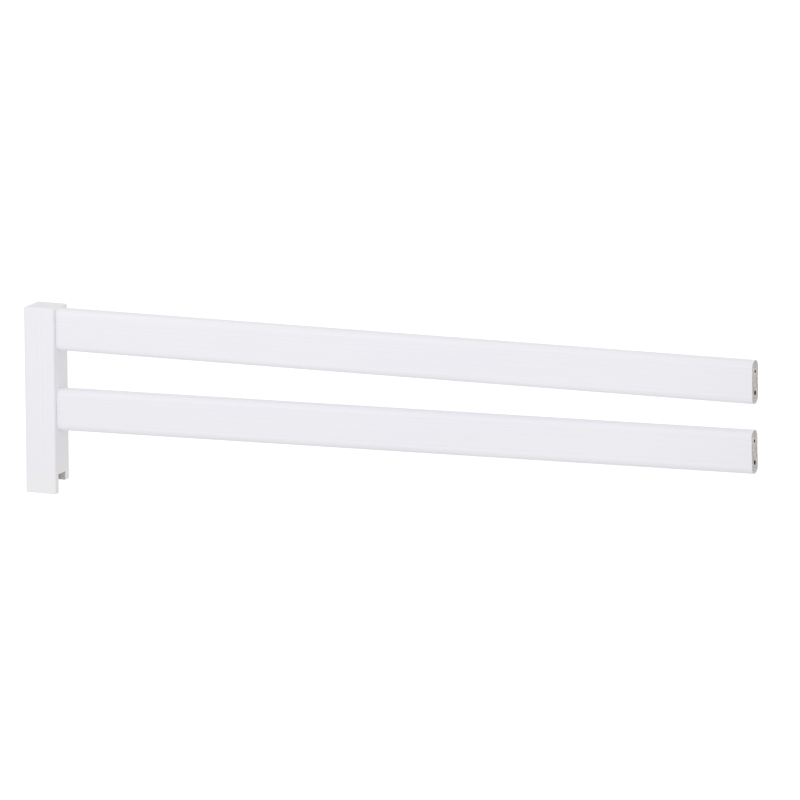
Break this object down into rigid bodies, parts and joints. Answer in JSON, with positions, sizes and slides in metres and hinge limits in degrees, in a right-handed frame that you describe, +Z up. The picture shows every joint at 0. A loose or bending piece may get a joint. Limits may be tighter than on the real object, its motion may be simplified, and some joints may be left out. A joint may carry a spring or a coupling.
{
  "type": "bed guard rail",
  "caption": "Painted wooden guard rail for a child's bed: a post with a saddle foot that straddles the side board, and rails with bored free ends.",
  "frame": {"origin": "middle of the saddle's seat, where the post stands on the bed's side board", "axes": "+X from the post along the rails to their free ends, +Y away from the side that shows in the picture, +Z up"},
  "size_m": [1.1812, 0.05, 0.288],
  "materials": {
    "painted_wood": "cool white satin lacquer on planed softwood, thin and greyish on the sawn free ends",
    "beech": "bare fluted beech",
    "zinc_plated_steel": "bright zinc plate",
    "white_plastic": "moulded white polyethylene, fine matt grain"
  },
  "bodies": {
    "root": {"post": "painted_wood", "upper_rail": "painted_wood", "lower_rail": "painted_wood", "upper_dowel": "beech", "lower_dowel": "beech", "upper_screw": "zinc_plated_steel", "lower_screw": "zinc_plated_steel", "upper_cap": "white_plastic", "lower_cap": "white_plastic"}
  },
  "joints": []
}
